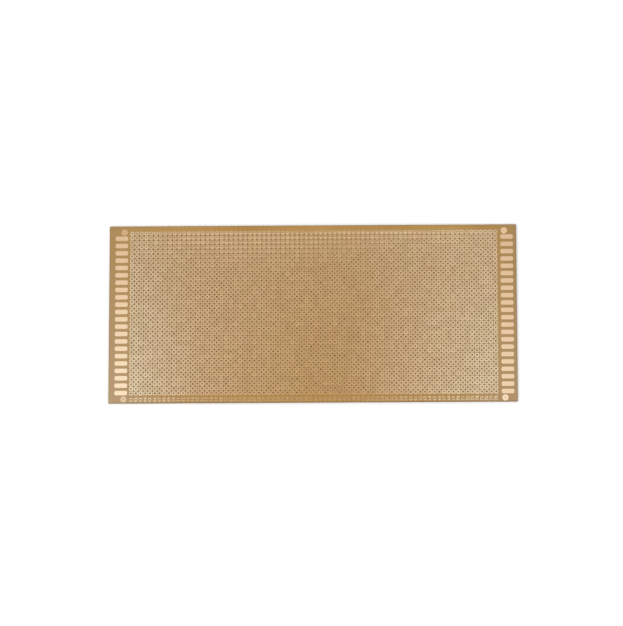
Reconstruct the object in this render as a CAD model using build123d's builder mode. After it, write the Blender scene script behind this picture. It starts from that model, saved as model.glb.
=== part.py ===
"""Prototype circuit board: a perforated single-sided board with a row of copper contacts at each end.

All lengths are in millimetres. The board lies flat: X runs along the long side, Y across it,
Z up to the copper side. The origin is the centre of the underside.
"""

import os

from build123d import *

# Hole field
hole_pitch = 2.54
hole_columns = 78
hole_rows = 36
hole_diameter = 1.0

# Board
board_thickness = 1.2
foil_thickness = 0.035
far_margin = 4.1  # first hole row to the far edge
near_margin = 5.35  # last hole row to the near edge
rows_per_strip = 4

# Edge contacts, a row of rounded bars beyond each end of the hole field
contact_length = 6.8
contact_width = 2.5
contact_pitch = 4.09
contact_corner_radius = 0.8
left_contact_gap = 2.2  # first hole column to the left contacts' inner ends
right_contact_gap = 2.9  # last hole column to the right contacts' inner ends
left_rim = 3.2  # contacts' outer ends to the left edge
right_rim = 1.7  # contacts' outer ends to the right edge

# Corner pads, one round pad in each corner with an etched centre mark for the drill
corner_pad_diameter = 3.4
centre_mark_diameter = 0.5
corner_pad_setback = 1.95  # contacts' inner ends to the pads' centres
corner_pad_far_rim = 1.7  # far edge to the pads
corner_pad_near_rim = 0.4  # near edge to the pads
corner_pad_far_gap = 0.5  # far pads to the first contact
corner_pad_near_gap = 0.15  # near pads to the last contact, at the least

# Sizes that follow from those above
left_margin = left_contact_gap + contact_length + left_rim
right_margin = right_contact_gap + contact_length + right_rim
field_length = (hole_columns - 1) * hole_pitch
field_width = (hole_rows - 1) * hole_pitch
board_length = left_margin + field_length + right_margin
board_width = near_margin + field_width + far_margin

left_edge = -board_length / 2
far_edge = board_width / 2
near_edge = -far_edge
field_left = left_edge + left_margin
field_right = field_left + field_length
field_x = (field_left + field_right) / 2
first_row_y = far_edge - far_margin

left_contact_end = field_left - left_contact_gap
right_contact_end = field_right + right_contact_gap
left_contact_x = left_contact_end - contact_length / 2
right_contact_x = right_contact_end + contact_length / 2

corner_pad_radius = corner_pad_diameter / 2
far_pad_y = far_edge - corner_pad_far_rim - corner_pad_radius
near_pad_y = near_edge + corner_pad_near_rim + corner_pad_radius
corner_pad_x = (left_contact_end - corner_pad_setback, right_contact_end + corner_pad_setback)
corner_points = [(x, y) for y in (far_pad_y, near_pad_y) for x in corner_pad_x]

first_contact_y = far_pad_y - corner_pad_radius - corner_pad_far_gap - contact_width / 2
last_contact_limit = near_pad_y + corner_pad_radius + corner_pad_near_gap + contact_width / 2
contact_count = int((first_contact_y - last_contact_limit) / contact_pitch) + 1
contact_row_y = first_contact_y - (contact_count - 1) * contact_pitch / 2

strip_count = -(-hole_rows // rows_per_strip)

os.makedirs("parts", exist_ok=True)

# Laminate, in strips that meet halfway between hole rows
for strip in range(strip_count):
    first_row = strip * rows_per_strip
    rows = min(rows_per_strip, hole_rows - first_row)
    strip_first_y = first_row_y - first_row * hole_pitch
    strip_last_y = strip_first_y - (rows - 1) * hole_pitch
    strip_far = far_edge if strip == 0 else strip_first_y + hole_pitch / 2
    strip_near = near_edge if strip == strip_count - 1 else strip_last_y - hole_pitch / 2

    with BuildPart() as laminate_strip:
        with BuildSketch():
            with Locations((0, (strip_far + strip_near) / 2)):
                Rectangle(board_length, strip_far - strip_near)
            with Locations((field_x, (strip_first_y + strip_last_y) / 2)):
                with GridLocations(hole_pitch, hole_pitch, hole_columns, rows):
                    Circle(hole_diameter / 2, mode=Mode.SUBTRACT)
        extrude(amount=board_thickness, clean=False)
    laminate_strip.part.label = f"laminate_strip_{strip + 1}"
    export_step(laminate_strip.part, f"parts/laminate_strip_{strip + 1}.step")

# Left contacts, copper foil bars bonded to the laminate
with BuildPart() as left_contacts:
    with BuildSketch(Plane.XY.offset(board_thickness)):
        with Locations((left_contact_x, contact_row_y)):
            with GridLocations(contact_length, contact_pitch, 1, contact_count):
                RectangleRounded(contact_length, contact_width, contact_corner_radius)
    extrude(amount=foil_thickness)
left_contacts.part.label = "left_contacts"
export_step(left_contacts.part, "parts/left_contacts.step")

# Right contacts, the same bars at the other end
with BuildPart() as right_contacts:
    with BuildSketch(Plane.XY.offset(board_thickness)):
        with Locations((right_contact_x, contact_row_y)):
            with GridLocations(contact_length, contact_pitch, 1, contact_count):
                RectangleRounded(contact_length, contact_width, contact_corner_radius)
    extrude(amount=foil_thickness)
right_contacts.part.label = "right_contacts"
export_step(right_contacts.part, "parts/right_contacts.step")

# Corner pads, copper foil discs, each with its centre mark etched through
with BuildPart() as corner_pads:
    with BuildSketch(Plane.XY.offset(board_thickness)):
        with Locations(*corner_points):
            Circle(corner_pad_diameter / 2)
            Circle(centre_mark_diameter / 2, mode=Mode.SUBTRACT)
    extrude(amount=foil_thickness)
corner_pads.part.label = "corner_pads"
export_step(corner_pads.part, "parts/corner_pads.step")
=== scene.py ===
"""Bare prototype circuit board lying flat on a pale table, copper side up.

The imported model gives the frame: metres, X along the long side, Y across it, Z up to the
copper side, and the origin at the centre of the underside.
"""

import logging
import math
from dataclasses import dataclass
from enum import Enum
from typing import Callable

import bpy
from mathutils import Matrix, Vector

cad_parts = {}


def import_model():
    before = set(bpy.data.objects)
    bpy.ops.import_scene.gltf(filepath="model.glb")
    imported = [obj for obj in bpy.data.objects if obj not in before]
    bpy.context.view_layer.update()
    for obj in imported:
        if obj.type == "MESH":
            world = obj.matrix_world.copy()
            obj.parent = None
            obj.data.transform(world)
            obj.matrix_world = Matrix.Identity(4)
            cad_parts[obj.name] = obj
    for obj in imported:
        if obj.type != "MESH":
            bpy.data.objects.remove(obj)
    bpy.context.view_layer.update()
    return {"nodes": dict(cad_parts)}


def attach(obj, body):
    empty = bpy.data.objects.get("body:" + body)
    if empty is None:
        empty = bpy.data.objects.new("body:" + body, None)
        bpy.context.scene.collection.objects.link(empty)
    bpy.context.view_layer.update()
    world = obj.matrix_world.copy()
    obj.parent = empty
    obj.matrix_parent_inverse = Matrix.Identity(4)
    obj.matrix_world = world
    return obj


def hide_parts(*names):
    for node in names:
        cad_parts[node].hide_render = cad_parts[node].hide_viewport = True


MM = 0.001
PHOTO_WIDTH = 623
MERGE_REACH = 0.004 * MM
NEAR_ENOUGH = 0.05 * MM

# The standard curve between display colours and linear light
DISPLAY_MOST = 255.0
CURVE_START = 0.04045
CURVE_START_SLOPE = 12.92
CURVE_OFFSET = 0.055
CURVE_POWER = 2.4

log = logging.getLogger("prototype_board")

Colour = tuple[float, float, float]
Place = tuple[float, float, float]
Stops = list[tuple[float, Colour]]
EdgeTest = Callable[[Vector, Vector], bool]
Socket = bpy.types.NodeSocket
Value = float | Socket
Tint = Colour | Socket
Setting = str | int | float | bool | Place


class End(Enum):
    """Which end of the hole field a row of contacts lies beyond."""

    LEFT = "left"
    RIGHT = "right"


class Half(Enum):
    """Which half of the hole rows a set of pads belongs to."""

    FAR = "far"
    NEAR = "near"


def linear(red: int, green: int, blue: int) -> Colour:
    """Turns a display colour into the linear values a shader socket takes.

    Args:
        red: Red from 0 to 255.
        green: Green from 0 to 255.
        blue: Blue from 0 to 255.

    Returns:
        The three linear values, each from 0 to 1.
    """
    out = []
    for part in (red, green, blue):
        shown = part / DISPLAY_MOST
        if shown <= CURVE_START:
            out.append(shown / CURVE_START_SLOPE)
        else:
            out.append(((shown + CURVE_OFFSET) / (1.0 + CURVE_OFFSET)) ** CURVE_POWER)
    return (out[0], out[1], out[2])


def leave_edit() -> None:
    """Goes back to object mode."""
    bpy.ops.object.mode_set(mode="OBJECT")


def clear_selection() -> None:
    """Leaves edit mode and deselects every object."""
    if bpy.context.object is not None and bpy.context.object.mode != "OBJECT":
        leave_edit()
    bpy.ops.object.select_all(action="DESELECT")


def select_whole() -> None:
    """Selects all of the mesh that is open in edit mode."""
    bpy.ops.mesh.select_all(action="SELECT")


def take(piece: bpy.types.Object) -> None:
    """Makes one object the only selected one, and the active one.

    Args:
        piece: The object to work on.
    """
    clear_selection()
    piece.select_set(True)
    bpy.context.view_layer.objects.active = piece


def edit(piece: bpy.types.Object, kind: str = "VERT") -> None:
    """Opens a piece in edit mode with nothing selected.

    Args:
        piece: The object to open.
        kind: The element kind that is picked: VERT, EDGE or FACE.
    """
    take(piece)
    bpy.ops.object.mode_set(mode="EDIT")
    bpy.ops.mesh.select_mode(type=kind)
    bpy.ops.mesh.select_all(action="DESELECT")


def pick_edges(piece: bpy.types.Object, test: EdgeTest) -> None:
    """Selects the edges that pass a test, and opens edit mode on them.

    Args:
        piece: The object whose edges are picked.
        test: Takes the places of an edge's two ends and says whether it counts.
    """
    edit(piece, "EDGE")
    leave_edit()
    mesh = piece.data
    for edge in mesh.edges:
        first, second = (mesh.vertices[i].co for i in edge.vertices)
        edge.select = test(first, second)
    bpy.ops.object.mode_set(mode="EDIT")


def face_up(piece: bpy.types.Object) -> None:
    """Turns a flat piece's faces upwards.

    Args:
        piece: The flat piece.
    """
    edit(piece)
    select_whole()
    bpy.ops.mesh.normals_make_consistent(inside=False)
    leave_edit()
    if sum(face.normal.z for face in piece.data.polygons) < 0:
        edit(piece)
        select_whole()
        bpy.ops.mesh.flip_normals()
        leave_edit()


def ring_around_hole(outline: bpy.types.Object, sides: int, radius: float, centre: Place) -> None:
    """Puts a ring of faces that point up between a flat outline and a round hole in it.

    Args:
        outline: The outline, open in edit mode. It loses any face that fills it.
        sides: How many sides the hole has.
        radius: The hole's radius, in metres.
        centre: The hole's centre, in metres.
    """
    select_whole()
    bpy.ops.mesh.delete(type="ONLY_FACE")
    bpy.ops.mesh.primitive_circle_add(vertices=sides, radius=radius, location=centre)
    select_whole()
    bpy.ops.mesh.bridge_edge_loops()
    leave_edit()
    face_up(outline)


def apply_modifier(piece: bpy.types.Object, kind: str, **settings: Setting) -> None:
    """Adds a modifier, sets it and applies it.

    Args:
        piece: The object that gets it.
        kind: The modifier's type.
        **settings: Its settings by name.
    """
    take(piece)
    bpy.ops.object.modifier_add(type=kind)
    modifier = piece.modifiers[-1]
    for name, value in settings.items():
        setattr(modifier, name, value)
    bpy.ops.object.modifier_apply(modifier=modifier.name)


def repeat(piece: bpy.types.Object, count: int, step: Place, merge: bool) -> None:
    """Repeats a piece in a straight row, within its own mesh.

    Args:
        piece: The object that is repeated.
        count: How many copies the row has in all.
        step: From one copy to the next, in metres.
        merge: Whether copies share the vertices where they meet.
    """
    apply_modifier(
        piece,
        "ARRAY",
        count=count,
        use_relative_offset=False,
        use_constant_offset=True,
        constant_offset_displace=step,
        use_merge_vertices=merge,
        merge_threshold=MERGE_REACH,
    )


def join(pieces: list[bpy.types.Object]) -> bpy.types.Object:
    """Joins several pieces into the first one.

    Args:
        pieces: The pieces.

    Returns:
        The first piece, which holds them all.
    """
    clear_selection()
    for piece in pieces:
        piece.select_set(True)
    bpy.context.view_layer.objects.active = pieces[0]
    bpy.ops.object.join()
    return pieces[0]


def settle(piece: bpy.types.Object, name: str) -> bpy.types.Object:
    """Names a piece and moves its place into its mesh.

    Args:
        piece: The finished object.
        name: The piece's name.

    Returns:
        The same object.
    """
    take(piece)
    bpy.ops.object.transform_apply(location=True, rotation=True, scale=True)
    piece.name = name
    piece.data.name = name
    return piece


def dress(
    piece: bpy.types.Object,
    finish: bpy.types.Material,
    stands_for: tuple[str, ...] = (),
) -> bpy.types.Object:
    """Gives a piece its finish and ties it to the frame.

    Args:
        piece: The finished object.
        finish: The finish.
        stands_for: The CAD nodes that it stands for, if any.

    Returns:
        The same object.
    """
    piece.data.materials.clear()
    piece.data.materials.append(finish)
    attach(piece, "root")
    if stands_for:
        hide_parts(*stands_for)
    return piece


@dataclass(frozen=True)
class Pattern:
    """A noise pattern: its waves in each metre, finer layers, their strength and its stretch."""

    scale: float
    detail: float = 3.0
    rough: float = 0.5
    stretch: Place = (1.0, 1.0, 1.0)


class Graph:
    """A material's node tree, with short calls to add and join its nodes."""

    def __init__(self, name: str) -> None:
        """Starts a material that has a Principled shader and its output.

        Args:
            name: The material's name.
        """
        self.material = bpy.data.materials.new(name)
        self.material.use_nodes = True
        self.nodes = self.material.node_tree.nodes
        self.links = self.material.node_tree.links
        self.shader = self.nodes["Principled BSDF"]
        self.place = self.add("ShaderNodeTexCoord").outputs["Object"]
        self.parts = self.add("ShaderNodeSeparateXYZ")
        self.join(self.place, self.parts.inputs[0])

    def add(self, kind: str, **settings: Setting) -> bpy.types.Node:
        """Adds a node.

        Args:
            kind: The node's type name.
            **settings: Its own settings by name.

        Returns:
            The node.
        """
        node = self.nodes.new(kind)
        for name, value in settings.items():
            setattr(node, name, value)
        return node

    def join(self, source: Socket, target: Socket) -> None:
        """Links an output to an input."""
        self.links.new(source, target)

    def part(self, name: str) -> Socket:
        """Gives the X, Y or Z of a point on the object, in metres."""
        return self.parts.outputs[name]

    def maths(
        self,
        operation: str,
        first: Value,
        second: Value | None = None,
        third: Value | None = None,
        clamp: bool = False,
    ) -> Socket:
        """Adds a Math node.

        Args:
            operation: What it does, such as MULTIPLY.
            first: Its first value, a number or an output.
            second: Its second value.
            third: Its third value.
            clamp: Whether the result is kept from 0 to 1.

        Returns:
            Its output.
        """
        node = self.add("ShaderNodeMath", operation=operation, use_clamp=clamp)
        for value, socket in zip((first, second, third), node.inputs):
            if value is None:
                continue
            if isinstance(value, (int, float)):
                socket.default_value = value
            else:
                self.join(value, socket)
        return node.outputs[0]

    def vector_maths(
        self, operation: str, first: Socket, second: Place | None = None
    ) -> bpy.types.Node:
        """Adds a Vector Math node.

        Args:
            operation: What it does, such as SNAP.
            first: Its first vector, an output.
            second: Its second vector.

        Returns:
            The node.
        """
        node = self.add("ShaderNodeVectorMath", operation=operation)
        self.join(first, node.inputs[0])
        if second is not None:
            node.inputs[1].default_value = second
        return node

    def noise(self, pattern: Pattern) -> Socket:
        """Adds a noise pattern that is fixed to the object.

        Args:
            pattern: Its scale and layers.

        Returns:
            The pattern's value, from 0 to 1.
        """
        mapping = self.add("ShaderNodeMapping")
        mapping.inputs["Scale"].default_value = pattern.stretch
        self.join(self.place, mapping.inputs["Vector"])
        node = self.add("ShaderNodeTexNoise")
        node.inputs["Scale"].default_value = pattern.scale
        node.inputs["Detail"].default_value = pattern.detail
        node.inputs["Roughness"].default_value = pattern.rough
        self.join(mapping.outputs["Vector"], node.inputs["Vector"])
        return node.outputs["Fac"]

    def ramp(self, value: Socket, stops: Stops) -> Socket:
        """Turns a value into a colour.

        Args:
            value: The value, from 0 to 1.
            stops: Each place on the ramp with its colour.

        Returns:
            The colour output.
        """
        node = self.add("ShaderNodeValToRGB")
        ramp = node.color_ramp
        while len(ramp.elements) < len(stops):
            ramp.elements.new(0.5)
        for element, (place, colour) in zip(ramp.elements, stops):
            element.position = place
            element.color = (*colour, 1.0)
        self.join(value, node.inputs["Fac"])
        return node.outputs["Color"]

    def mix(self, amount: Value, first: Tint, second: Tint, blend: str = "MIX") -> Socket:
        """Mixes two colours.

        Args:
            amount: How much of the second, a number or an output.
            first: A colour or an output.
            second: A colour or an output.
            blend: The blend type.

        Returns:
            The colour output.
        """
        node = self.add("ShaderNodeMix", data_type="RGBA", blend_type=blend)
        sockets = (node.inputs[0], node.inputs[6], node.inputs[7])
        for value, socket in zip((amount, first, second), sockets):
            if isinstance(value, (int, float)):
                socket.default_value = value
            elif isinstance(value, tuple):
                socket.default_value = (*value, 1.0)
            else:
                self.join(value, socket)
        return node.outputs[2]

    def open_where(self, amount: Socket) -> None:
        """Makes the material clear where a value is 1.

        Args:
            amount: How clear it is, from 0 to 1.
        """
        clear = self.add("ShaderNodeBsdfTransparent")
        both = self.add("ShaderNodeMixShader")
        self.join(amount, both.inputs[0])
        self.join(self.shader.outputs[0], both.inputs[1])
        self.join(clear.outputs[0], both.inputs[2])
        self.join(both.outputs[0], self.nodes["Material Output"].inputs["Surface"])

    def vary_roughness(self, pattern: Socket, middle: float, spread: float) -> None:
        """Lets a pattern change the shader's roughness.

        Args:
            pattern: The pattern, from 0 to 1.
            middle: The roughness at the pattern's middle value.
            spread: From the lowest roughness to the highest.
        """
        rough = self.maths("MULTIPLY_ADD", pattern, spread, middle - spread / 2)
        self.join(rough, self.shader.inputs["Roughness"])

    def bump(self, height: Socket, strength: float, depth: float) -> None:
        """Lets a height pattern shape the shader's normal.

        Args:
            height: The pattern.
            strength: How strong it is, from 0 to 1.
            depth: The height of a full step, in metres.
        """
        node = self.add("ShaderNodeBump")
        node.inputs["Strength"].default_value = strength
        node.inputs["Distance"].default_value = depth
        self.join(height, node.inputs["Height"])
        self.join(node.outputs["Normal"], self.shader.inputs["Normal"])


@dataclass(frozen=True)
class Layout:
    """Where things lie on the board, in millimetres as in the part's source."""

    pitch: float = 2.54
    columns: int = 78
    rows: int = 36
    hole_diameter: float = 1.0
    board_length: float = 219.18
    board_width: float = 98.35
    thickness: float = 1.2
    foil: float = 0.035
    field_left: float = -97.39
    first_row_y: float = 45.075
    contact_length: float = 6.8
    contact_width: float = 2.5
    contact_pitch: float = 4.09
    contact_count: int = 22
    contact_corner: float = 0.8
    left_gap: float = 2.2
    right_gap: float = 2.9
    first_contact_y: float = 42.325
    pad_diameter: float = 3.4
    centre_mark: float = 0.5
    pad_setback: float = 1.95
    far_pad_y: float = 45.775
    near_pad_y: float = -47.075

    @property
    def field_right(self) -> float:
        """X of the last hole column."""
        return self.field_left + (self.columns - 1) * self.pitch

    @property
    def last_row_y(self) -> float:
        """Y of the last hole row."""
        return self.first_row_y - (self.rows - 1) * self.pitch

    @property
    def half_sizes(self) -> tuple[float, float]:
        """Half the board's length and half its width, in metres."""
        return (self.board_length / 2 * MM, self.board_width / 2 * MM)

    def on_top(self, x: float, y: float, lift: float = 0.0) -> Place:
        """Gives a place on the laminate's top side in metres, or a lift above it."""
        return (x * MM, y * MM, (self.thickness + lift) * MM)

    def past_contact_end(self, end: End, distance: float) -> float:
        """Gives a place beyond the contacts' inner ends.

        Args:
            end: The end of the board.
            distance: How far past the contacts' inner ends, away from the hole field.

        Returns:
            The X of that place.
        """
        if end is End.LEFT:
            return self.field_left - self.left_gap - distance
        return self.field_right + self.right_gap + distance

    def corners(self) -> list[tuple[float, float]]:
        """Gives the centres of the four corner pads.

        Returns:
            An X and a Y for each.
        """
        xs = [self.past_contact_end(end, self.pad_setback) for end in End]
        return [(x, y) for y in (self.far_pad_y, self.near_pad_y) for x in xs]


@dataclass(frozen=True)
class BoardArea:
    """Where a finish changes over the board, in metres."""

    layout: Layout
    past_columns: float = 0.61 * MM
    past_rows: float = 0.65 * MM
    soft_border: float = 0.8 * MM

    def along(self, g: Graph) -> Socket:
        """Gives 0 at the left edge and 1 at the right edge."""
        half_length = self.layout.half_sizes[0]
        return g.maths("MULTIPLY_ADD", g.part("X"), 0.5 / half_length, 0.5, clamp=True)

    def aside(self, g: Graph) -> Socket:
        """Gives 0 halfway along the board and 1 at both ends."""
        return g.maths("ABSOLUTE", g.maths("MULTIPLY_ADD", self.along(g), 2.0, -1.0))

    def nearness(self, g: Graph) -> Socket:
        """Gives 0 at the far edge and 1 at the near edge."""
        half_width = self.layout.half_sizes[1]
        return g.maths("MULTIPLY_ADD", g.part("Y"), -0.5 / half_width, 0.5, clamp=True)

    def rim(self, g: Graph, width: float) -> Socket:
        """Gives 1 at the cut edges and 0 further in.

        Args:
            g: The material's nodes.
            width: How far the rim reaches in from the edge, in metres.

        Returns:
            The value's output.
        """
        past_x, past_y = (
            g.maths("SUBTRACT", g.maths("ABSOLUTE", g.part(name)), half - width)
            for name, half in zip("XY", self.layout.half_sizes)
        )
        return g.maths("MULTIPLY", g.maths("MAXIMUM", past_x, past_y), 1.0 / width, clamp=True)

    def layer(self, g: Graph, lowest: float, highest: float) -> Socket:
        """Gives 1 between two heights and 0 elsewhere.

        Args:
            g: The material's nodes.
            lowest: The lower height, in metres.
            highest: The upper height, in metres.

        Returns:
            The value's output.
        """
        above = g.maths("GREATER_THAN", g.part("Z"), lowest)
        return g.maths("MULTIPLY", above, g.maths("LESS_THAN", g.part("Z"), highest))

    def inside(self, g: Graph, name: str, first: float, last: float, past: float) -> Socket:
        """Gives 1 between two holes along one direction and 0 elsewhere, with soft borders.

        Args:
            g: The material's nodes.
            name: The direction, X or Y.
            first: The hole with the lower value there, in millimetres.
            last: The hole with the higher value there, in millimetres.
            past: How far the area reaches past both, in metres.

        Returns:
            The value's output.
        """
        centre = (first + last) / 2 * MM
        reach = (last - first) / 2 * MM + past + self.soft_border / 2
        off = g.maths("ABSOLUTE", g.maths("SUBTRACT", g.part(name), centre))
        left_over = g.maths("SUBTRACT", reach, off)
        return g.maths("MULTIPLY", left_over, 1.0 / self.soft_border, clamp=True)

    def field(self, g: Graph) -> Socket:
        """Gives 1 over the hole field and 0 elsewhere, with a soft border.

        Args:
            g: The material's nodes.

        Returns:
            The value's output.
        """
        p = self.layout
        across = self.inside(g, "X", p.field_left, p.field_right, self.past_columns)
        return g.maths(
            "MULTIPLY", across, self.inside(g, "Y", p.last_row_y, p.first_row_y, self.past_rows)
        )


@dataclass(frozen=True)
class PaperLaminate:
    """Golden brown resin-bonded paper: smooth, half glossy, with faint clouds and fibres, a
    painted sheen towards the near corners and painted shade in the gaps and holes of the hole
    field.
    """

    area: BoardArea
    golden: Colour = linear(173, 131, 65)
    deep: Colour = linear(164, 121, 58)
    pale: Colour = linear(179, 139, 76)
    end_tone: Colour = linear(160, 126, 74)
    end_falloff: float = 6.0
    near_tone: Colour = linear(160, 120, 58)
    near_falloff: float = 12.0
    # Painted sheen: a pale veil of reflected light towards the near corners.
    hazy: Colour = linear(172, 144, 108)
    haze_end_falloff: float = 4.0
    haze_near_falloff: float = 1.6
    haze_loss_to_right: float = 0.35
    cut_edge: Colour = linear(112, 88, 46)
    cut_edge_width: float = 0.45 * MM
    cut_edge_strength: float = 0.8
    # Painted shade in the gaps between the pads, darker than the margins, with painted sheen near
    # the corners.
    between_left: Colour = linear(136, 105, 65)
    between_middle: Colour = linear(147, 110, 61)
    between_right: Colour = linear(150, 120, 79)
    between_hazy: Colour = linear(160, 138, 106)
    # Painted shade on the hole walls.
    hole_wall: Colour = linear(84, 60, 33)
    skin: float = 0.01 * MM
    clouds: Pattern = Pattern(30.0, 3.0, 0.55)
    fibres: Pattern = Pattern(900.0, 2.0, 0.6, stretch=(0.25, 1.0, 1.0))
    fibre_strength: float = 0.15
    roughness: float = 0.42
    roughness_spread: float = 0.16
    gloss: float = 0.4
    bump_strength: float = 0.25
    bump_depth: float = 0.02 * MM

    def plain_tone(self, g: Graph, fibres: Socket) -> Socket:
        """Colours the bare margins, duller at both ends and along the near edge.

        Args:
            g: The material's nodes.
            fibres: The fibre pattern.

        Returns:
            The colour output.
        """
        colour = g.ramp(
            g.noise(self.clouds), [(0.3, self.deep), (0.52, self.golden), (0.75, self.pale)]
        )
        streaks = g.ramp(fibres, [(0.3, self.deep), (0.7, self.pale)])
        colour = g.mix(self.fibre_strength, colour, streaks)
        ends = g.maths("POWER", self.area.aside(g), self.end_falloff)
        colour = g.mix(ends, colour, self.end_tone)
        near = g.maths("POWER", self.area.nearness(g), self.near_falloff)
        return g.mix(near, colour, self.near_tone)

    def haze(self, g: Graph) -> Socket:
        """Gives how much painted sheen the surface has: most in the near left corner, and less in
        the near right.

        Args:
            g: The material's nodes.

        Returns:
            The value's output.
        """
        ends = g.maths("POWER", self.area.aside(g), self.haze_end_falloff)
        near = g.maths("POWER", self.area.nearness(g), self.haze_near_falloff)
        haze = g.maths("MULTIPLY", ends, near)
        left = g.maths("MULTIPLY_ADD", self.area.along(g), -self.haze_loss_to_right, 1.0)
        return g.maths("MULTIPLY", haze, left)

    def material(self) -> bpy.types.Material:
        """Builds the finish.

        Returns:
            The material.
        """
        g = Graph("paper_laminate")
        fibres = g.noise(self.fibres)
        # Painted sheen towards the near corners, over the margins and over the gaps.
        haze = self.haze(g)
        colour = g.mix(haze, self.plain_tone(g, fibres), self.hazy)
        # Painted shade in the gaps between the pads, over the hole field.
        between = g.ramp(
            self.area.along(g),
            [(0.05, self.between_left), (0.45, self.between_middle), (0.9, self.between_right)],
        )
        between = g.mix(haze, between, self.between_hazy)
        thickness = self.area.layout.thickness * MM
        field = self.area.field(g)
        top = self.area.layer(g, thickness - self.skin, thickness + self.skin)
        colour = g.mix(g.maths("MULTIPLY", field, top), colour, between)
        # Painted shade inside the holes.
        wall = self.area.layer(g, self.skin, thickness - self.skin)
        colour = g.mix(g.maths("MULTIPLY", field, wall), colour, self.hole_wall)
        rim = self.area.rim(g, self.cut_edge_width)
        colour = g.mix(g.maths("MULTIPLY", rim, self.cut_edge_strength), colour, self.cut_edge)
        g.join(colour, g.shader.inputs["Base Color"])
        g.vary_roughness(fibres, self.roughness, self.roughness_spread)
        g.shader.inputs["Specular IOR Level"].default_value = self.gloss
        g.bump(fibres, self.bump_strength, self.bump_depth)
        return g.material


@dataclass(frozen=True)
class PadCopper:
    """Copper foil under a thin coat of rosin, with a painted sheen that makes it pale at both ends
    and towards the near edge, and leaves it orange in the middle.
    """

    area: BoardArea
    # plain is the foil at the far edge; left to right are the painted sheen along the board, pale
    # at both ends and orange in the middle.
    plain: Colour = linear(207, 177, 138)
    left: Colour = linear(231, 213, 183)
    left_quarter: Colour = linear(214, 182, 141)
    middle: Colour = linear(198, 160, 111)
    right_quarter: Colour = linear(218, 189, 152)
    right: Colour = linear(229, 210, 177)
    plain_at_far_edge: float = 0.65
    greenish: Colour = (0.985, 1.0, 0.955)
    pinkish: Colour = (1.0, 0.965, 0.985)
    stain: Colour = linear(182, 138, 90)
    unevenness: float = 0.09
    wear: float = 0.35
    drift: Pattern = Pattern(12.0, 1.0, 0.5)
    drift_reach: float = 0.12
    tints: Pattern = Pattern(55.0, 2.0, 0.6)
    blotches: Pattern = Pattern(420.0, 2.0, 0.5)
    roughness: float = 0.36
    roughness_spread: float = 0.2
    bump_strength: float = 0.2
    bump_depth: float = 0.01 * MM

    def board_tone(self, g: Graph) -> Socket:
        """Paints a sheen onto the foil by its place on the board.

        Args:
            g: The material's nodes.

        Returns:
            The colour output.
        """
        drift = g.maths(
            "MULTIPLY_ADD", g.noise(self.drift), self.drift_reach, -self.drift_reach / 2
        )
        tone = g.ramp(
            g.maths("ADD", self.area.along(g), drift),
            [
                (0.05, self.left),
                (0.22, self.left_quarter),
                (0.5, self.middle),
                (0.6, self.middle),
                (0.76, self.right_quarter),
                (0.93, self.right),
            ],
        )
        # The painted sheen grows towards the near edge.
        near = g.maths(
            "MULTIPLY_ADD",
            self.area.nearness(g),
            self.plain_at_far_edge,
            1.0 - self.plain_at_far_edge,
        )
        colour = g.mix(near, self.plain, tone)
        tint = g.ramp(g.noise(self.tints), [(0.36, self.greenish), (0.64, self.pinkish)])
        return g.mix(1.0, colour, tint, "MULTIPLY")

    def each_pad(self, g: Graph) -> Socket:
        """Gives every pad a value of its own, from 0 to 1.

        Args:
            g: The material's nodes.

        Returns:
            The value's output.
        """
        p = self.area.layout
        corner = ((p.field_left - p.pitch / 2) * MM, (p.last_row_y - p.pitch / 2) * MM, 0.0)
        shifted = g.vector_maths("SUBTRACT", g.place, corner)
        snapped = g.vector_maths("SNAP", shifted.outputs[0], (p.pitch * MM, p.pitch * MM, 1.0))
        each = g.add("ShaderNodeTexWhiteNoise", noise_dimensions="2D")
        g.join(snapped.outputs[0], each.inputs["Vector"])
        return each.outputs["Value"]

    def material(self) -> bpy.types.Material:
        """Builds the finish.

        Returns:
            The material.
        """
        g = Graph("pad_copper")
        each = self.each_pad(g)
        blotches = g.noise(self.blotches)
        worn = g.maths("MULTIPLY", g.maths("MULTIPLY", each, blotches), self.wear, clamp=True)
        stained = g.mix(worn, self.board_tone(g), self.stain)
        scale = g.maths("MULTIPLY_ADD", each, -self.unevenness, 1.0 + self.unevenness / 2)
        uneven = g.vector_maths("SCALE", stained)
        g.join(scale, uneven.inputs["Scale"])
        g.join(uneven.outputs[0], g.shader.inputs["Base Color"])
        g.shader.inputs["Metallic"].default_value = 1.0
        g.vary_roughness(blotches, self.roughness, self.roughness_spread)
        g.bump(blotches, self.bump_strength, self.bump_depth)
        return g.material


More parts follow.
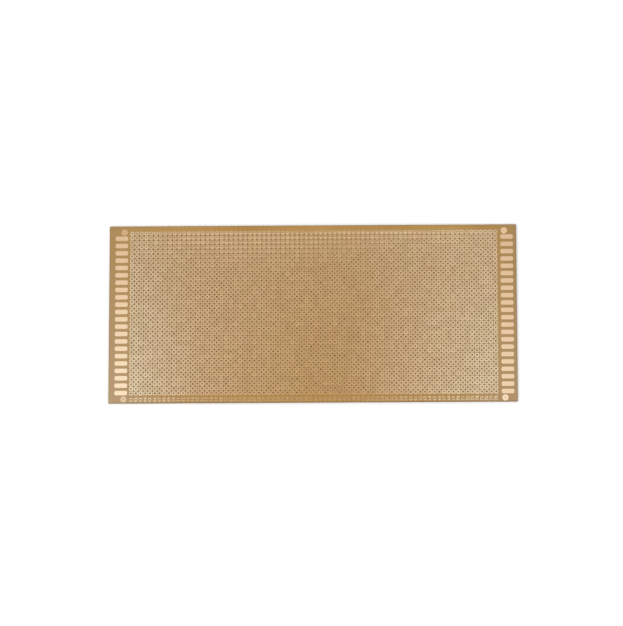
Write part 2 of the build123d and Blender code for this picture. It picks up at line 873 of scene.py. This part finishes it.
@dataclass(frozen=True)
class ContactCopper:
    """Cleaner copper foil with fine rolling lines, and a painted sheen that changes by its place
    on the board and is brightest towards the near edge.
    """

    area: BoardArea
    name: str = "contact_copper"
    # Painted sheen: the foil's tone at each corner of the board, brighter towards the near edge.
    far_left: Colour = linear(223, 188, 148)
    far_right: Colour = linear(221, 187, 150)
    near_left: Colour = linear(255, 234, 201)
    near_right: Colour = linear(245, 215, 181)
    dull: Colour = linear(212, 172, 130)
    dullness: float = 0.14
    lines: Pattern = Pattern(700.0, 2.0, 0.6, stretch=(0.12, 1.0, 1.0))
    roughness: float = 0.32
    roughness_spread: float = 0.2
    bump_strength: float = 0.25
    bump_depth: float = 0.01 * MM

    @classmethod
    def for_corner_pads(cls, area: BoardArea) -> "ContactCopper":
        """Gives the same foil with the corner pads' painted sheen tones.

        Args:
            area: The board's areas.

        Returns:
            The finish.
        """
        return cls(
            area,
            name="corner_copper",
            far_left=linear(214, 174, 134),
            far_right=linear(234, 200, 160),
            near_left=linear(222, 197, 164),
            near_right=linear(250, 226, 194),
        )

    def material(self) -> bpy.types.Material:
        """Builds the finish.

        Returns:
            The material.
        """
        g = Graph(self.name)
        # Blends the painted sheen between the four corners of the board.
        along = self.area.along(g)
        far = g.mix(along, self.far_left, self.far_right)
        near = g.mix(along, self.near_left, self.near_right)
        colour = g.mix(self.area.nearness(g), far, near)
        lines = g.noise(self.lines)
        colour = g.mix(g.maths("MULTIPLY", lines, self.dullness), colour, self.dull)
        g.join(colour, g.shader.inputs["Base Color"])
        g.shader.inputs["Metallic"].default_value = 1.0
        g.vary_roughness(lines, self.roughness, self.roughness_spread)
        g.bump(lines, self.bump_strength, self.bump_depth)
        return g.material


@dataclass
class Sheet:
    """The laminate: one sheet with every component hole."""

    layout: Layout
    finish: bpy.types.Material
    strips: tuple[str, ...]
    hole_sides: int = 12
    edge_break: float = 0.12
    edge_segments: int = 2
    edge_profile: float = 0.6
    smooth_angle: float = 35.0

    def tile(self) -> bpy.types.Object:
        """Makes the square of sheet around the first hole, as a flat ring of faces.

        Returns:
            The tile.
        """
        p = self.layout
        place = p.on_top(p.field_left, p.first_row_y)
        clear_selection()
        bpy.ops.mesh.primitive_plane_add(size=p.pitch * MM, location=place)
        tile = settle(bpy.context.object, "sheet_tile")
        edit(tile)
        ring_around_hole(tile, self.hole_sides, p.hole_diameter / 2 * MM, place)
        return tile

    def grow_margin(self, sheet: bpy.types.Object, axis: int, start: float, end: float) -> None:
        """Extends the flat sheet on one side.

        Args:
            sheet: The flat sheet.
            axis: 0 to grow along X, 1 to grow along Y.
            start: Where the sheet's side is now, in metres.
            end: Where it goes, in metres.
        """

        def on_side(first: Vector, second: Vector) -> bool:
            """Says whether an edge lies on the side that grows."""
            return max(abs(first[axis] - start), abs(second[axis] - start)) < NEAR_ENOUGH

        reach = [0.0, 0.0, 0.0]
        reach[axis] = end - start
        pick_edges(sheet, on_side)
        bpy.ops.mesh.extrude_region_move(TRANSFORM_OT_translate={"value": tuple(reach)})
        leave_edit()

    def break_edges(self, sheet: bpy.types.Object) -> None:
        """Rounds the upper and lower edges of the cut outline, and its four corners.

        Args:
            sheet: The sheet at its full thickness.
        """
        half_sizes = self.layout.half_sizes

        def on_outline(first: Vector, second: Vector) -> bool:
            """Says whether an edge lies on one of the four cut sides."""
            return any(
                abs(first[axis] - second[axis]) < NEAR_ENOUGH
                and abs(abs(first[axis]) - half) < NEAR_ENOUGH
                for axis, half in enumerate(half_sizes)
            )

        pick_edges(sheet, on_outline)
        bpy.ops.mesh.bevel(
            offset=self.edge_break * MM,
            segments=self.edge_segments,
            profile=self.edge_profile,
            affect="EDGES",
        )
        leave_edit()

    def build(self) -> bpy.types.Object:
        """Builds and dresses the sheet.

        Returns:
            The finished piece.
        """
        p = self.layout
        sheet = self.tile()
        repeat(sheet, p.columns, (p.pitch * MM, 0.0, 0.0), merge=True)
        repeat(sheet, p.rows, (0.0, -p.pitch * MM, 0.0), merge=True)
        edit(sheet)
        select_whole()
        bpy.ops.mesh.remove_doubles(threshold=MERGE_REACH)
        leave_edit()
        half_length, half_width = p.half_sizes
        self.grow_margin(sheet, 0, (p.field_left - p.pitch / 2) * MM, -half_length)
        self.grow_margin(sheet, 0, (p.field_right + p.pitch / 2) * MM, half_length)
        self.grow_margin(sheet, 1, (p.first_row_y + p.pitch / 2) * MM, half_width)
        self.grow_margin(sheet, 1, (p.last_row_y - p.pitch / 2) * MM, -half_width)
        face_up(sheet)
        apply_modifier(sheet, "SOLIDIFY", thickness=p.thickness * MM, offset=-1.0)
        self.break_edges(sheet)
        take(sheet)
        bpy.ops.object.shade_smooth_by_angle(angle=math.radians(self.smooth_angle))
        return dress(settle(sheet, "laminate_sheet"), self.finish, self.strips)


@dataclass
class HolePads:
    """The copper pads of half the hole rows."""

    layout: Layout
    half: Half
    finish: bpy.types.Material
    across: float = 2.31
    corner: float = 0.74
    corner_segments: int = 2
    hole_sides: int = 12

    def build(self) -> bpy.types.Object:
        """Builds one pad, repeats it over its rows and dresses them.

        Returns:
            The finished piece.
        """
        p = self.layout
        rows = p.rows // 2
        top = p.first_row_y if self.half is Half.FAR else p.first_row_y - rows * p.pitch
        place = p.on_top(p.field_left, top)
        clear_selection()
        bpy.ops.mesh.primitive_plane_add(size=self.across * MM, location=place)
        pad = settle(bpy.context.object, "pad")
        edit(pad)
        select_whole()
        bpy.ops.mesh.bevel(
            offset=self.corner * MM, segments=self.corner_segments, affect="VERTICES"
        )
        ring_around_hole(pad, self.hole_sides, p.hole_diameter / 2 * MM, place)
        apply_modifier(pad, "SOLIDIFY", thickness=p.foil * MM, offset=1.0)
        repeat(pad, p.columns, (p.pitch * MM, 0.0, 0.0), merge=False)
        repeat(pad, rows, (0.0, -p.pitch * MM, 0.0), merge=False)
        return dress(settle(pad, f"hole_pads_{self.half.value}"), self.finish)


@dataclass
class EdgeContacts:
    """One row of copper contact bars beyond an end of the hole field."""

    layout: Layout
    end: End
    finish: bpy.types.Material
    corner_segments: int = 5
    edge_break: float = 0.012
    edge_segments: int = 2

    def build(self) -> bpy.types.Object:
        """Builds one bar, repeats it down the row and dresses them.

        Returns:
            The finished piece.
        """
        p = self.layout
        place = p.on_top(p.past_contact_end(self.end, p.contact_length / 2), p.first_contact_y)
        clear_selection()
        bpy.ops.mesh.primitive_plane_add(size=1.0, location=place)
        bar = bpy.context.object
        bar.scale = (p.contact_length * MM, p.contact_width * MM, 1.0)
        settle(bar, "contact")
        edit(bar)
        select_whole()
        bpy.ops.mesh.bevel(
            offset=p.contact_corner * MM, segments=self.corner_segments, affect="VERTICES"
        )
        leave_edit()
        face_up(bar)
        apply_modifier(bar, "SOLIDIFY", thickness=p.foil * MM, offset=1.0)
        apply_modifier(
            bar,
            "BEVEL",
            width=self.edge_break * MM,
            segments=self.edge_segments,
            limit_method="ANGLE",
        )
        repeat(bar, p.contact_count, (0.0, -p.contact_pitch * MM, 0.0), merge=False)
        settle(bar, f"contacts_{self.end.value}")
        return dress(bar, self.finish, (f"{self.end.value}_contacts",))


@dataclass
class CornerPads:
    """The four round copper pads in the corners, each with its etched centre mark."""

    layout: Layout
    finish: bpy.types.Material
    sides: int = 32

    def ring(self, x: float, y: float) -> bpy.types.Object:
        """Builds one pad.

        Args:
            x: The X of the pad's centre, in millimetres.
            y: The Y of the pad's centre, in millimetres.

        Returns:
            The pad.
        """
        p = self.layout
        place = p.on_top(x, y)
        radius = p.pad_diameter / 2 * MM
        clear_selection()
        bpy.ops.mesh.primitive_circle_add(vertices=self.sides, radius=radius, location=place)
        pad = settle(bpy.context.object, "corner_pad")
        edit(pad)
        ring_around_hole(pad, self.sides, p.centre_mark / 2 * MM, place)
        apply_modifier(pad, "SOLIDIFY", thickness=p.foil * MM, offset=1.0)
        return pad

    def build(self) -> bpy.types.Object:
        """Builds the four pads as one piece and dresses them.

        Returns:
            The finished piece.
        """
        pads = join([self.ring(x, y) for x, y in self.layout.corners()])
        return dress(settle(pads, "corner_pads_foil"), self.finish, ("corner_pads",))


@dataclass
class ColumnMarks:
    """Plain column numbers etched in the foil along the near edge, read from the right."""

    layout: Layout
    finish: bpy.types.Material
    size: float = 2.6
    stroke: float = 0.08
    turn: float = 90.0
    centre_y: float = -47.35
    merge_reach: float = 0.0005

    def number(self, column: int) -> bpy.types.Object:
        """Builds one number.

        Args:
            column: The column, from 1.

        Returns:
            The number as a mesh.
        """
        p = self.layout
        x = p.field_left + (column - 1) * p.pitch
        place = p.on_top(x, self.centre_y, p.foil / 2)
        clear_selection()
        bpy.ops.object.text_add(location=place, rotation=(0.0, 0.0, math.radians(self.turn)))
        text = bpy.context.object
        text.data.body = f"{column:02d}"
        text.data.size = self.size * MM
        text.data.align_x = "CENTER"
        text.data.align_y = "CENTER"
        text.data.resolution_u = 1
        text.data.offset = self.stroke * MM
        text.data.extrude = p.foil / 2 * MM
        bpy.ops.object.convert(target="MESH")
        return bpy.context.object

    def build(self) -> bpy.types.Object:
        """Builds the whole row of numbers as one piece and dresses it.

        Returns:
            The finished piece.
        """
        marks = join([self.number(column) for column in range(1, self.layout.columns + 1)])
        edit(marks)
        select_whole()
        bpy.ops.mesh.remove_doubles(threshold=self.merge_reach * MM)
        select_whole()
        bpy.ops.mesh.normals_make_consistent(inside=False)
        leave_edit()
        return dress(settle(marks, "column_marks"), self.finish)


@dataclass
class Studio:
    """A white table, soft light and the camera."""

    azimuth: float = 4.09
    elevation: float = 75.0
    roll: float = -4.27
    distance: float = 3.0
    pixels_per_mm: float = 1.8605
    sensor_width: float = 36.0
    aim: Place = (-0.71, 0.25, 1.2)
    table_size: float = 8.0
    table_drop: float = 0.05 * MM
    table_roughness: float = 0.9
    table_colour: Colour = (0.93, 0.93, 0.93)
    white: Colour = (1.0, 1.0, 1.0)
    white_lift: float = 0.12
    lift_reach: float = 0.2
    covered_half_length: float = 109.4 * MM
    covered_half_width: float = 49.0 * MM
    # Painted light and shade under the board: a brown patch whose glow shows through the holes,
    # patchy, and paler towards the far edge.
    under_colour: Colour = (0.85, 0.52, 0.16)
    under_glow: Colour = (0.38, 0.213, 0.061)
    under_glow_ends: Colour = (0.25, 0.152, 0.05)
    end_falloff: float = 1.5
    patches: Pattern = Pattern(420.0, 1.0, 0.5)
    patch_dim: Colour = (0.14, 0.077, 0.0)
    patch_dim_end: float = 0.4
    patch_full_start: float = 0.62
    # Painted light seen through the far rows of holes.
    far_glow: Colour = (0.78, 0.57, 0.33)
    far_glow_start: float = 25.0 * MM
    far_glow_end: float = 44.0 * MM
    far_falloff_to_right: float = 3.0
    far_end_falloff: float = 3.0
    sky_level_top: float = 1.0
    sky_level_side: float = 0.72
    sky_top_height: float = 0.95
    sky_side_height: float = 0.3
    lamp_power: float = 12.0
    lamp_size: float = 1.2
    lamp_place: Place = (-0.9, -0.9, 1.4)

    def camera(self) -> None:
        """Places the camera at the photograph's angle."""
        a, e, r = (math.radians(v) for v in (self.azimuth, self.elevation, self.roll))
        back = Vector((math.cos(e) * math.sin(a), -math.cos(e) * math.cos(a), math.sin(e)))
        right = Vector((math.cos(a), math.sin(a), 0.0))
        up = back.cross(right)
        x_axis = right * math.cos(r) + up * math.sin(r)
        y_axis = up * math.cos(r) - right * math.sin(r)
        place = Vector(self.aim) * MM + back * self.distance
        data = bpy.data.cameras.new("camera")
        data.sensor_fit = "HORIZONTAL"
        data.sensor_width = self.sensor_width
        data.lens = self.pixels_per_mm * self.distance / MM * data.sensor_width / PHOTO_WIDTH
        data.dof.use_dof = False
        camera = bpy.data.objects.new("camera", data)
        bpy.context.scene.collection.objects.link(camera)
        turn = Matrix((x_axis, y_axis, back)).transposed().to_4x4()
        camera.matrix_world = Matrix.Translation(place) @ turn
        bpy.context.scene.camera = camera

    def under_light(self, g: Graph) -> Socket:
        """Paints the glow that shows through the holes in place of their light and shade: warm
        brown, and paler towards the far edge.

        Args:
            g: The table's nodes.

        Returns:
            The colour output.
        """
        aside = g.maths("ABSOLUTE", g.part("X"))
        aside = g.maths("DIVIDE", aside, self.covered_half_length, clamp=True)
        ends = g.maths("POWER", aside, self.end_falloff)
        glow = g.mix(ends, self.under_glow, self.under_glow_ends)
        stops = [(self.patch_dim_end, self.patch_dim), (self.patch_full_start, self.white)]
        glow = g.mix(1.0, glow, g.ramp(g.noise(self.patches), stops), "MULTIPLY")
        depth = g.maths("SUBTRACT", g.part("Y"), self.far_glow_start)
        far = g.maths("DIVIDE", depth, self.far_glow_end - self.far_glow_start, clamp=True)
        to_right = g.maths("DIVIDE", g.part("X"), self.covered_half_length / 2, clamp=True)
        falloff = g.maths("MULTIPLY_ADD", to_right, self.far_falloff_to_right, 1.0)
        middle = g.maths("SUBTRACT", 1.0, g.maths("POWER", aside, self.far_end_falloff))
        far = g.maths("MULTIPLY", g.maths("POWER", far, falloff), middle)
        return g.mix(far, glow, self.far_glow)

    def covered(self, g: Graph) -> Socket:
        """Gives 1 on the part of the table that the board covers and 0 elsewhere.

        Args:
            g: The table's nodes.

        Returns:
            The value's output.
        """
        inside_x, inside_y = (
            g.maths("LESS_THAN", g.maths("ABSOLUTE", g.part(name)), half)
            for name, half in (("X", self.covered_half_length), ("Y", self.covered_half_width))
        )
        return g.maths("MULTIPLY", inside_x, inside_y)

    def table_finish(self) -> bpy.types.Material:
        """Builds the white table top's finish.

        Away from the board it is lifted to white for rays that show it, and it is clear from
        below. Under the board it is a brown patch with a painted glow that stands in for the
        shade and light seen through the holes, and it lights nothing.

        Returns:
            The material.
        """
        g = Graph("white_table")
        covered = self.covered(g)
        # Under the board, painted shade: a brown patch seen through the holes.
        colour = g.mix(covered, self.table_colour, self.under_colour)
        g.join(colour, g.shader.inputs["Base Color"])
        g.shader.inputs["Roughness"].default_value = self.table_roughness
        g.shader.inputs["Specular IOR Level"].default_value = 0.0
        # Under the board, a painted glow seen through the holes.
        glow = g.mix(covered, self.white, self.under_light(g))
        g.join(glow, g.shader.inputs["Emission Color"])
        away = g.vector_maths("LENGTH", g.place).outputs["Value"]
        lift = g.maths("MULTIPLY", away, self.white_lift / self.lift_reach, clamp=True)
        lift = g.maths("MAXIMUM", g.maths("MINIMUM", lift, self.white_lift), covered)
        seen = g.add("ShaderNodeLightPath").outputs
        looks = g.maths("MAXIMUM", seen["Is Camera Ray"], seen["Is Glossy Ray"])
        looks = g.maths("MAXIMUM", looks, seen["Is Transmission Ray"])
        g.join(g.maths("MULTIPLY", lift, looks), g.shader.inputs["Emission Strength"])
        light_only = g.maths("MULTIPLY", covered, g.maths("SUBTRACT", 1.0, looks))
        from_below = g.add("ShaderNodeNewGeometry").outputs["Backfacing"]
        g.open_where(g.maths("MAXIMUM", light_only, from_below))
        return g.material

    def floor(self) -> None:
        """Lays the white table top that the board lies on."""
        place = (0.0, 0.0, -self.table_drop)
        clear_selection()
        bpy.ops.mesh.primitive_plane_add(size=self.table_size, location=place)
        floor = settle(bpy.context.object, "table_top")
        floor.data.materials.append(self.table_finish())

    def sky(self) -> None:
        """Sets an even sky that is a little darker at its sides."""
        world = bpy.data.worlds.new("soft_sky")
        world.use_nodes = True
        nodes, links = world.node_tree.nodes, world.node_tree.links
        light = nodes["Background"]
        light.inputs["Color"].default_value = (*self.white, 1.0)
        direction = nodes.new("ShaderNodeTexCoord")
        split = nodes.new("ShaderNodeSeparateXYZ")
        links.new(direction.outputs["Generated"], split.inputs[0])
        height = nodes.new("ShaderNodeMapRange")
        height.inputs["From Min"].default_value = self.sky_side_height
        height.inputs["From Max"].default_value = self.sky_top_height
        height.inputs["To Min"].default_value = self.sky_level_side
        height.inputs["To Max"].default_value = self.sky_level_top
        links.new(split.outputs["Z"], height.inputs["Value"])
        links.new(height.outputs["Result"], light.inputs["Strength"])
        bpy.context.scene.world = world

    def lamp(self) -> None:
        """Hangs one soft lamp at the front left, turned to the board."""
        clear_selection()
        bpy.ops.object.light_add(type="AREA", location=self.lamp_place)
        lamp = bpy.context.object
        lamp.data.energy = self.lamp_power
        lamp.data.size = self.lamp_size
        lamp.rotation_euler = (-lamp.location).to_track_quat("-Z", "Y").to_euler()

    def build(self) -> None:
        """Sets up the camera, the table and the light."""
        self.camera()
        self.floor()
        self.sky()
        self.lamp()
        bpy.context.scene.view_settings.view_transform = "Standard"


def main() -> None:
    """Builds the board and its studio, and reports each piece."""
    logging.basicConfig(level=logging.INFO, format="%(name)s: %(message)s")
    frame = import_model()
    Studio().build()
    layout = Layout()
    area = BoardArea(layout)
    strips = tuple(n for n in frame["nodes"] if n.startswith("laminate_strip_"))
    laminate = PaperLaminate(area).material()
    pad_copper = PadCopper(area).material()
    contact_copper = ContactCopper(area).material()
    corner_copper = ContactCopper.for_corner_pads(area).material()
    assemblies = (
        Sheet(layout, laminate, strips),
        HolePads(layout, Half.FAR, pad_copper),
        HolePads(layout, Half.NEAR, pad_copper),
        EdgeContacts(layout, End.LEFT, contact_copper),
        EdgeContacts(layout, End.RIGHT, contact_copper),
        CornerPads(layout, corner_copper),
        ColumnMarks(layout, pad_copper),
    )
    for assembly in assemblies:
        piece = assembly.build()
        log.info("%s: %d faces", piece.name, len(piece.data.polygons))


if __name__ == "__main__":
    main()
